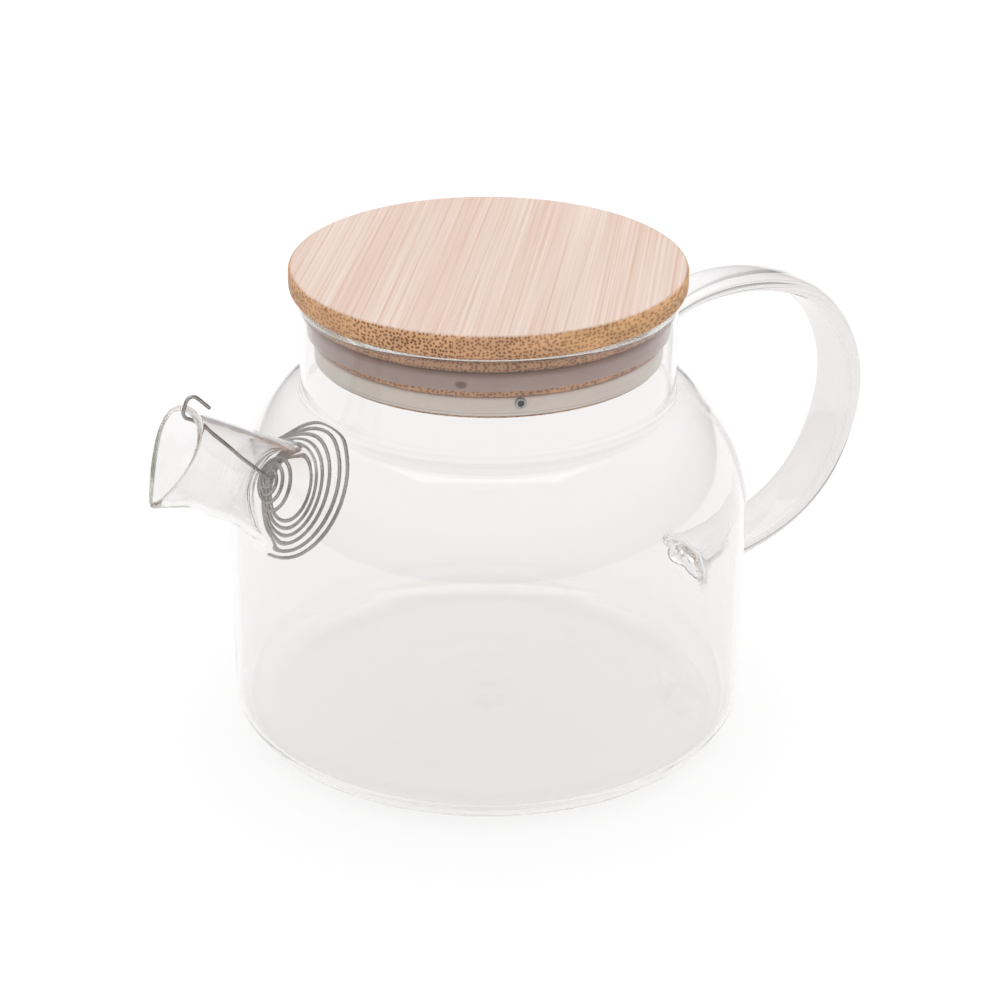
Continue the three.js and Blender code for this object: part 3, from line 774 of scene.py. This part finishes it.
def pin_mesh(sizes):
    """A small pin with a round rim and a recess, pushed into the plug through the lower seal."""
    head, recess, shank, deep = 1.35 * MM, 0.69 * MM, 0.8 * MM, 4.5 * MM
    rim, ease = (head - recess) / 2, 0.2 * MM
    profile = [(0, 0.05 * MM), (0.6 * MM, 0.05 * MM), (recess - 0.01 * MM, 0.12 * MM), (recess, 0.25 * MM)]
    profile += arc((head - rim, 0.28 * MM), rim, 170, 0, 8)
    profile += [(head, 0), (head - 0.1 * MM, -0.5 * MM), (shank, -0.7 * MM), (shank, -deep + ease)]
    profile += [(shank - ease, -deep), (0, -deep)]
    bm = spun(profile[::-1], PIN_STEPS)
    # Faces in the recess take the second material, a near-black painted shade for the shadow in the recess.
    for face in bm.faces:
        centre = face.calc_center_median()
        in_recess = hypot(centre.x, centre.y) < recess + 0.01 * MM and 0 < centre.z < 0.3 * MM
        face.material_index = int(in_recess)
    middle = (PIN_LOW + PIN_HIGH) / 2
    out = rotated(X_AXIS, sizes.pin_angle)
    reach = LOWER_HIGH.x
    turn = out.to_track_quat("Z", "Y").to_matrix()
    bmesh.ops.rotate(bm, cent=ORIGIN, matrix=turn, verts=bm.verts[:])
    bmesh.ops.translate(bm, vec=out * reach + Z_AXIS * middle.z, verts=bm.verts[:])
    return mesh_from(bm, "seal_eyelet")


# Wire -------------------------------------------------------------------------

COIL_POINTS = 44            # points in one turn of the coil
COIL_EASING = 250           # rounds of smoothing that stand for the wire's springiness
COIL_RISE = 0.22            # how soon the turns in the hole reach the innermost one's depth
RIM_INSIDE, RIM_OUTSIDE = 10.7 * MM, 12.1 * MM      # the lip's top, above the spout's axis
WIRE_CLEAR = 0.45 * MM      # between the coil and the wall
HOLE_INSET = 3.5 * MM       # from the spout's outer radius to the wire in the hole
HOOK_STEPS = ((2.2, -1.2, 0), (0.1, -1.05, 0), (-0.95, -0.05, 0), (-1.15, 0.1, 1), (-1.25, 1.3, 1),
              (-0.9, 2.2, 1), (-0.1, 2.8, 1), (0.9, 2.75, 1), (5.4, 1.2, 1))


def sprung(wall, rounds):
    """Distances that run as smoothly as a springy wire would, and never less than the wall's."""
    backs = list(wall)
    for _ in range(rounds):
        inner = [(a + b + c) / 3 for a, b, c in zip(backs, backs[1:], backs[2:])]
        backs = [max(*pair) for pair in zip([backs[0], *inner, backs[-1]], wall)]
    return backs


def wire_route(sizes, wire):
    """The whole wire: a coil along the wall that closes up towards the spout, a tail, and a hook."""
    inset = sizes.body_wall + wire.wire_radius + WIRE_CLEAR
    hole = sizes.spout_radius - HOLE_INSET - wire.wire_radius
    turn, free = [], []
    count = round(COIL_POINTS * wire.turns)
    for k in range(count + 1):
        share = k / count
        radius = wire.coil_radius + (wire.tip_radius - wire.coil_radius) * share
        angle = 2 * pi * wire.turns * share + pi
        up, side = radius * cos(angle), radius * sin(angle)
        in_hole = max(0, (hole - radius) / (hole - wire.tip_radius))
        wall = wall_back(sizes, up, side, inset)
        turn.append((up, side))
        free.append(wall + (wire.tip_back - wall) * in_hole ** COIL_RISE)
    backs = sprung(free, COIL_EASING)
    points = [on_spout(sizes, back, *place) for back, place in zip(backs, turn)]
    foot = on_spout(sizes, wire.tip_back - 2 * MM, 1.2 * MM)
    head = on_spout(sizes, 5.6 * MM, RIM_INSIDE - 2 * MM)
    leaving = (points[-1] - points[-2]).normalized()
    hook = [points[-1] + leaving * 0.5 * MM, foot, foot.lerp(head, 0.5), head]
    for back, rise, outside in HOOK_STEPS:
        rim = RIM_OUTSIDE if outside else RIM_INSIDE
        hook.append(on_spout(sizes, back * MM, rim + rise * MM))
    return points + smooth_curve(hook, 0.6 * MM)


def wire_mesh(sizes, wire):
    """A round wire along the route, made from a curve with a round section and closed ends."""
    route = wire_route(sizes, wire)
    curve = bpy.data.curves.new("strainer_route", "CURVE")
    curve.dimensions = "3D"
    curve.bevel_depth = wire.wire_radius
    curve.bevel_resolution = 3
    curve.use_fill_caps = True
    spline = curve.splines.new("POLY")
    spline.points.add(len(route) - 1)
    for point, place in zip(spline.points, route):
        point.co = (*place, 1)
    holder = bpy.data.objects.new("strainer_route", curve)
    mesh = bpy.data.meshes.new_from_object(holder)
    bpy.data.objects.remove(holder)
    bm = bmesh.new()
    bm.from_mesh(mesh)
    bmesh.ops.remove_doubles(bm, verts=bm.verts[:], dist=1e-6)
    bmesh.ops.recalc_face_normals(bm, faces=bm.faces[:])
    bm.to_mesh(mesh)
    bm.free()
    mesh.name = "strainer_wire"
    return mesh


# Stage ------------------------------------------------------------------------

CAMERA_AIM = Vector((0, 0, 57.351 * MM))
CAMERA_DISTANCE = 700.06 * MM
CAMERA_AZIMUTH, CAMERA_ELEVATION = radians(-34), radians(25.379)
CAMERA_YAW, CAMERA_ROLL = radians(0.257), radians(0.256)
CAMERA_LENS = 99.82         # millimetres, on a 36 mm sensor
SOFTBOX_PLACE = Vector((0.2, 0.3, 1.8))
SOFTBOX_SIZE, SOFTBOX_WATTS = 1.6, 9
FLOOR_DROP = 0.2 * MM       # keeps the floor's face clear of the pot's underside
FLOOR_HALF_WIDTH = 6
LIGHT_BOUNCES = 1000        # light runs a long way inside glass edges


def camera_matrix():
    """Where the camera stands, turned a little off its aim and rolled a little."""
    around = Matrix.Rotation(CAMERA_AZIMUTH, 4, "Z") @ Matrix.Rotation(pi / 2 - CAMERA_ELEVATION, 4, "X")
    off_aim = Matrix.Rotation(-CAMERA_YAW, 4, "Y") @ Matrix.Rotation(CAMERA_ROLL, 4, "Z")
    place = CAMERA_AIM + around.to_3x3() @ (Z_AXIS * CAMERA_DISTANCE)
    return Matrix.Translation(place) @ around @ off_aim


def add_camera():
    """The camera, on its line of sight to the pot."""
    data = bpy.data.cameras.new("camera")
    data.lens = CAMERA_LENS
    data.clip_end = 20
    camera = bpy.data.objects.new("camera", data)
    camera.matrix_world = camera_matrix()
    bpy.context.scene.collection.objects.link(camera)
    bpy.context.scene.camera = camera


def add_softbox():
    """One large soft lamp high above the pot."""
    data = bpy.data.lights.new("top_softbox", "AREA")
    data.shape = "SQUARE"
    data.size = SOFTBOX_SIZE
    data.energy = SOFTBOX_WATTS
    lamp = bpy.data.objects.new("top_softbox", data)
    lamp.location = SOFTBOX_PLACE
    lamp.rotation_euler = (CAMERA_AIM - lamp.location).to_track_quat("-Z", "Y").to_euler()
    bpy.context.scene.collection.objects.link(lamp)


def add_world():
    """A pale studio all round, bright above and greyer towards the horizon, so that glass edges read."""
    world = bpy.data.worlds.new("studio")
    bpy.context.scene.world = world
    world.use_nodes = True
    tree = world.node_tree
    tree.nodes.clear()
    direction = tree.nodes.new("ShaderNodeTexCoord").outputs["Generated"]
    split = tree.nodes.new("ShaderNodeSeparateXYZ")
    tree.links.new(direction, split.inputs[0])
    ramp = tree.nodes.new("ShaderNodeValToRGB")
    tree.links.new(split.outputs["Z"], ramp.inputs[0])
    horizon, zenith = ramp.color_ramp.elements
    horizon.position = 0.0
    horizon.color = (0.34, 0.33, 0.335, 1)
    zenith.position = 0.55
    zenith.color = (1, 1, 1, 1)
    sky = tree.nodes.new("ShaderNodeBackground")
    tree.links.new(ramp.outputs[0], sky.inputs["Color"])
    sky.inputs["Strength"].default_value = 1.0
    output = tree.nodes.new("ShaderNodeOutputWorld")
    tree.links.new(sky.outputs[0], output.inputs["Surface"])


def add_floor(tone):
    """A wide sheet of white paper that glows a little."""
    bm = bmesh.new()
    bmesh.ops.create_grid(bm, x_segments=8, y_segments=8, size=FLOOR_HALF_WIDTH)
    bmesh.ops.translate(bm, vec=-Z_AXIS * FLOOR_DROP, verts=bm.verts[:])
    floor = bpy.data.objects.new("floor", mesh_from(bm, "floor"))
    bpy.context.scene.collection.objects.link(floor)
    nodes = Nodes("white_paper")
    tooth = nodes.noise(nodes.coordinates((2 * MM, 2 * MM, 2 * MM)), detail=3)
    paper = nodes.add("BsdfPrincipled", {
        "Base Color": (*tone, 1), "Roughness": nodes.spread(tooth, 0.3, 0.7, 0.8, 0.95),
        "Specular IOR Level": 0.1, "Emission Color": (1, 1, 1, 1), "Emission Strength": 0.73})
    floor.data.materials.append(nodes.output(paper.outputs[0]))


# Operators ----------------------------------------------------------------------

class TEAPOT_OT_glass(bpy.types.Operator):
    """Add the glass pot with its spout and handle"""
    bl_idname = "teapot.glass"
    bl_label = "Glass Pot"

    def execute(self, context):
        sizes, colours = context.scene.teapot_glass, context.scene.teapot_colours
        material = glass_material(colours.glass_clear, colours.glass_strap_shade, colours.glass_tint,
                                  sizes.body_radius)
        nodes = ("glass_body", "glass_spout", "glass_handle")
        pot = finish_piece("glass_pot", glass_mesh(sizes), material, nodes, "pot")
        smooth = pot.modifiers.new("smooth", "SUBSURF")
        smooth.levels = smooth.render_levels = 2
        return {"FINISHED"}


class TEAPOT_OT_strainer(bpy.types.Operator):
    """Add the strainer's coil and hook"""
    bl_idname = "teapot.strainer"
    bl_label = "Strainer Wire"

    def execute(self, context):
        sizes, wire = context.scene.teapot_glass, context.scene.teapot_wire
        material = steel_material("drawn_steel", context.scene.teapot_colours.steel)
        piece = finish_piece("strainer_wire", wire_mesh(sizes, wire), material,
                             ("strainer_coil", "strainer_hook"))
        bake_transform(piece)
        return {"FINISHED"}


class TEAPOT_OT_disc(bpy.types.Operator):
    """Add the four bamboo staves of the lid's disc"""
    bl_idname = "teapot.disc"
    bl_label = "Lid Disc"

    def execute(self, context):
        sizes = context.scene.teapot_lid
        colours = context.scene.teapot_colours
        radius = max(DISC_HIGH.x, -DISC_LOW.x, DISC_HIGH.y, -DISC_LOW.y)
        seams = [sizes.stave_offset + sizes.stave_width * k for k in (-1, 0, 1)]
        for k, (low, high) in enumerate(zip([None] + seams, seams + [None])):
            warmth, contrast = STAVE_LOOKS[k]
            name = f"bamboo_stave_{k + 1}"
            angle = sizes.grain_angle + radians(0.4 * k)
            material = bamboo_material(name, colours, angle, contrast=contrast, warmth=warmth)
            finish_piece(name, stave_mesh(sizes, radius, name, low, high), material,
                         (f"lid_stave_{k + 1}",), "lid")
        return {"FINISHED"}


class TEAPOT_OT_plug(bpy.types.Operator):
    """Add the bamboo plug under the disc"""
    bl_idname = "teapot.plug"
    bl_label = "Lid Plug"

    def execute(self, context):
        # shade=1.25 is painted light: it brightens the plug's bamboo where the disc's shadow falls on it.
        material = bamboo_material("bamboo_plug_grain", context.scene.teapot_colours,
                                   context.scene.teapot_lid.grain_angle, face=0.2, shade=1.25)
        mesh = mesh_from(spun(plug_profile(), LID_STEPS), "bamboo_plug")
        finish_piece("bamboo_plug", mesh, material, ("lid_plug",), "lid")
        return {"FINISHED"}


class TEAPOT_OT_seals(bpy.types.Operator):
    """Add the upper seal with its dimple and the lower seal"""
    bl_idname = "teapot.seals"
    bl_label = "Seals"

    def execute(self, context):
        sizes, colours = context.scene.teapot_lid, context.scene.teapot_colours
        inner = PLUG_HIGH.x - sizes.seal_depth
        dimple = rotated(X_AXIS, sizes.dimple_angle) * UPPER_HIGH.x + Z_AXIS * sizes.dimple_height
        upper = seal_mesh("silicone_upper", inner, UPPER_HIGH.x, UPPER_LOW.z, UPPER_HIGH.z, 0.9 * MM,
                          dimple)
        material = silicone_material("rose_silicone", colours.upper_seal, spot=dimple,
                                     dimple_shade_tone=colours.dimple)
        finish_piece("silicone_upper", upper, material, ("upper_seal",), "seal")
        lower = seal_mesh("silicone_lower", inner, LOWER_HIGH.x, LOWER_LOW.z, LOWER_HIGH.z, 0.5 * MM)
        material = silicone_material("grey_silicone", colours.lower_seal, LOWER_LOW.z + 0.9 * MM)
        finish_piece("silicone_lower", lower, material, ("lower_seal",), "lid")
        return {"FINISHED"}


class TEAPOT_OT_pin(bpy.types.Operator):
    """Add the steel pin of the lower seal"""
    bl_idname = "teapot.pin"
    bl_label = "Seal Pin"

    def execute(self, context):
        colours = context.scene.teapot_colours
        material = steel_material("polished_steel", colours.polish)
        mesh = pin_mesh(context.scene.teapot_lid)
        pin = finish_piece("seal_eyelet", mesh, material, ("seal_pin",), "lid")
        # The second material is painted shade for the pin's shadowed recess.
        pin.data.materials.append(steel_material("pin_bore_shade", colours.bore))
        return {"FINISHED"}


class TEAPOT_OT_stage(bpy.types.Operator):
    """Add the camera, the white floor and the soft light"""
    bl_idname = "teapot.stage"
    bl_label = "Stage"

    def execute(self, context):
        context.scene.view_settings.view_transform = "Standard"
        for kind in ("max_bounces", "transmission_bounces", "glossy_bounces"):
            setattr(context.scene.cycles, kind, LIGHT_BOUNCES)
        add_camera()
        add_world()
        add_floor(context.scene.teapot_colours.floor)
        add_softbox()
        return {"FINISHED"}


class TEAPOT_PT_panel(bpy.types.Panel):
    """The teapot's sizes, colours and pieces"""
    bl_idname = "TEAPOT_PT_panel"
    bl_label = "Glass Teapot"
    bl_space_type = "VIEW_3D"
    bl_region_type = "UI"
    bl_category = "Teapot"

    def draw(self, context):
        for operator in OPERATORS:
            self.layout.operator(operator.bl_idname)
        for name in SETTINGS:
            group = getattr(context.scene, name)
            box = self.layout.box()
            for key in group.bl_rna.properties.keys():
                if key not in ("rna_type", "name"):
                    box.prop(group, key)


SETTINGS = {"teapot_glass": TeapotGlassSizes, "teapot_lid": TeapotLidSizes, "teapot_wire": TeapotWireSizes,
            "teapot_colours": TeapotColours}
OPERATORS = (TEAPOT_OT_stage, TEAPOT_OT_glass, TEAPOT_OT_strainer, TEAPOT_OT_plug, TEAPOT_OT_seals,
             TEAPOT_OT_pin, TEAPOT_OT_disc)


def register():
    """Registers the settings, the operators and the panel."""
    for name, group in SETTINGS.items():
        bpy.utils.register_class(group)
        setattr(bpy.types.Scene, name, PointerProperty(type=group))
    for cls in OPERATORS + (TEAPOT_PT_panel,):
        bpy.utils.register_class(cls)


def unregister():
    """Takes back all that register added."""
    for cls in (TEAPOT_PT_panel,) + OPERATORS[::-1]:
        bpy.utils.unregister_class(cls)
    for name, group in reversed(SETTINGS.items()):
        delattr(bpy.types.Scene, name)
        bpy.utils.unregister_class(group)


def main():
    """Builds the stage and every piece."""
    register()
    bpy.ops.teapot.stage()
    bpy.ops.teapot.glass()
    bpy.ops.teapot.strainer()
    bpy.ops.teapot.plug()
    bpy.ops.teapot.seals()
    bpy.ops.teapot.pin()
    bpy.ops.teapot.disc()


if __name__ == "__main__":
    main()
